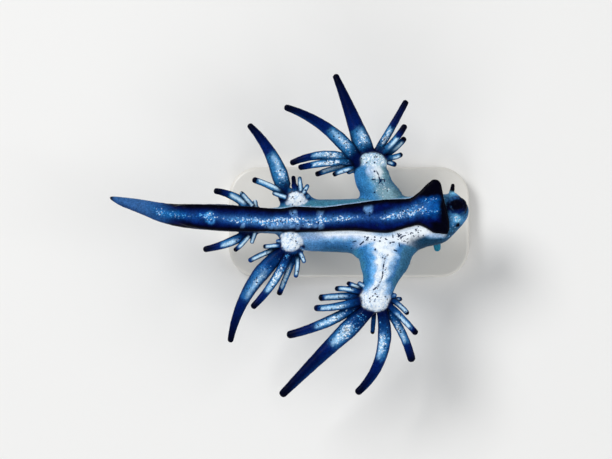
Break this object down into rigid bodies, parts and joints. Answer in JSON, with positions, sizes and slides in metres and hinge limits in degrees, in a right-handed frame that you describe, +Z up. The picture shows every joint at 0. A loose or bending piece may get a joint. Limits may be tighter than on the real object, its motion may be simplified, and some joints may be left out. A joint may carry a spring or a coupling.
{
  "type": "blue dragon sea slug model on a display stand",
  "caption": "Life-size blue dragon sea slug floating belly up, with fans of finger-like cerata on its sides, held over a flat base by two short rods.",
  "frame": {"origin": "middle of the underside of the stand's base", "axes": "+X towards the head, +Y to the animal's right side, +Z up, the way its belly and foot face"},
  "size_m": [0.0355, 0.0316, 0.0116],
  "materials": {
    "foot_blue": "wet glossy skin, dark blue with a silver midline and black edges",
    "flank_silver": "wet skin, pale silver blue with dark speckles",
    "ceras_blue": "wet glossy skin, blue with a silver stripe and a dark tip",
    "mouth_dark": "wet dark blue skin",
    "base_lacquer": "satin pale grey acrylic",
    "rod_steel": "polished stainless steel"
  },
  "bodies": {
    "root": {"arm_front_left": "flank_silver", "arm_front_right": "flank_silver", "arm_middle_left": "flank_silver", "arm_middle_right": "flank_silver", "arm_rear_left": "flank_silver", "arm_rear_right": "flank_silver", "ceras_front_left_1": "ceras_blue", "ceras_front_left_2": "ceras_blue", "ceras_front_left_3": "ceras_blue", "ceras_front_left_4": "ceras_blue", "ceras_front_left_5": "ceras_blue", "ceras_front_left_6": "ceras_blue", "ceras_front_left_7": "ceras_blue", "ceras_front_right_1": "ceras_blue", "ceras_front_right_2": "ceras_blue", "ceras_front_right_3": "ceras_blue", "ceras_front_right_4": "ceras_blue", "ceras_front_right_5": "ceras_blue", "ceras_front_right_6": "ceras_blue", "ceras_front_right_7": "ceras_blue", "ceras_middle_left_1": "ceras_blue", "ceras_middle_left_2": "ceras_blue", "ceras_middle_left_3": "ceras_blue", "ceras_middle_left_4": "ceras_blue", "ceras_middle_right_1": "ceras_blue", "ceras_middle_right_2": "ceras_blue", "ceras_rear_left_1": "ceras_blue", "ceras_rear_right_1": "ceras_blue", "foot_front": "foot_blue", "foot_rear": "foot_blue", "hand_front_left": "flank_silver", "hand_front_right": "flank_silver", "head": "flank_silver", "mouth": "mouth_dark", "oral_tentacle_left": "ceras_blue", "oral_tentacle_right": "ceras_blue", "rhinophore_left": "ceras_blue", "rhinophore_right": "ceras_blue", "stand_base": "base_lacquer", "stand_rod_front": "rod_steel", "stand_rod_rear": "rod_steel", "tail_base": "flank_silver", "tail_tip": "flank_silver", "trunk_front": "flank_silver", "trunk_middle": "flank_silver", "trunk_rear": "flank_silver"}
  },
  "joints": []
}
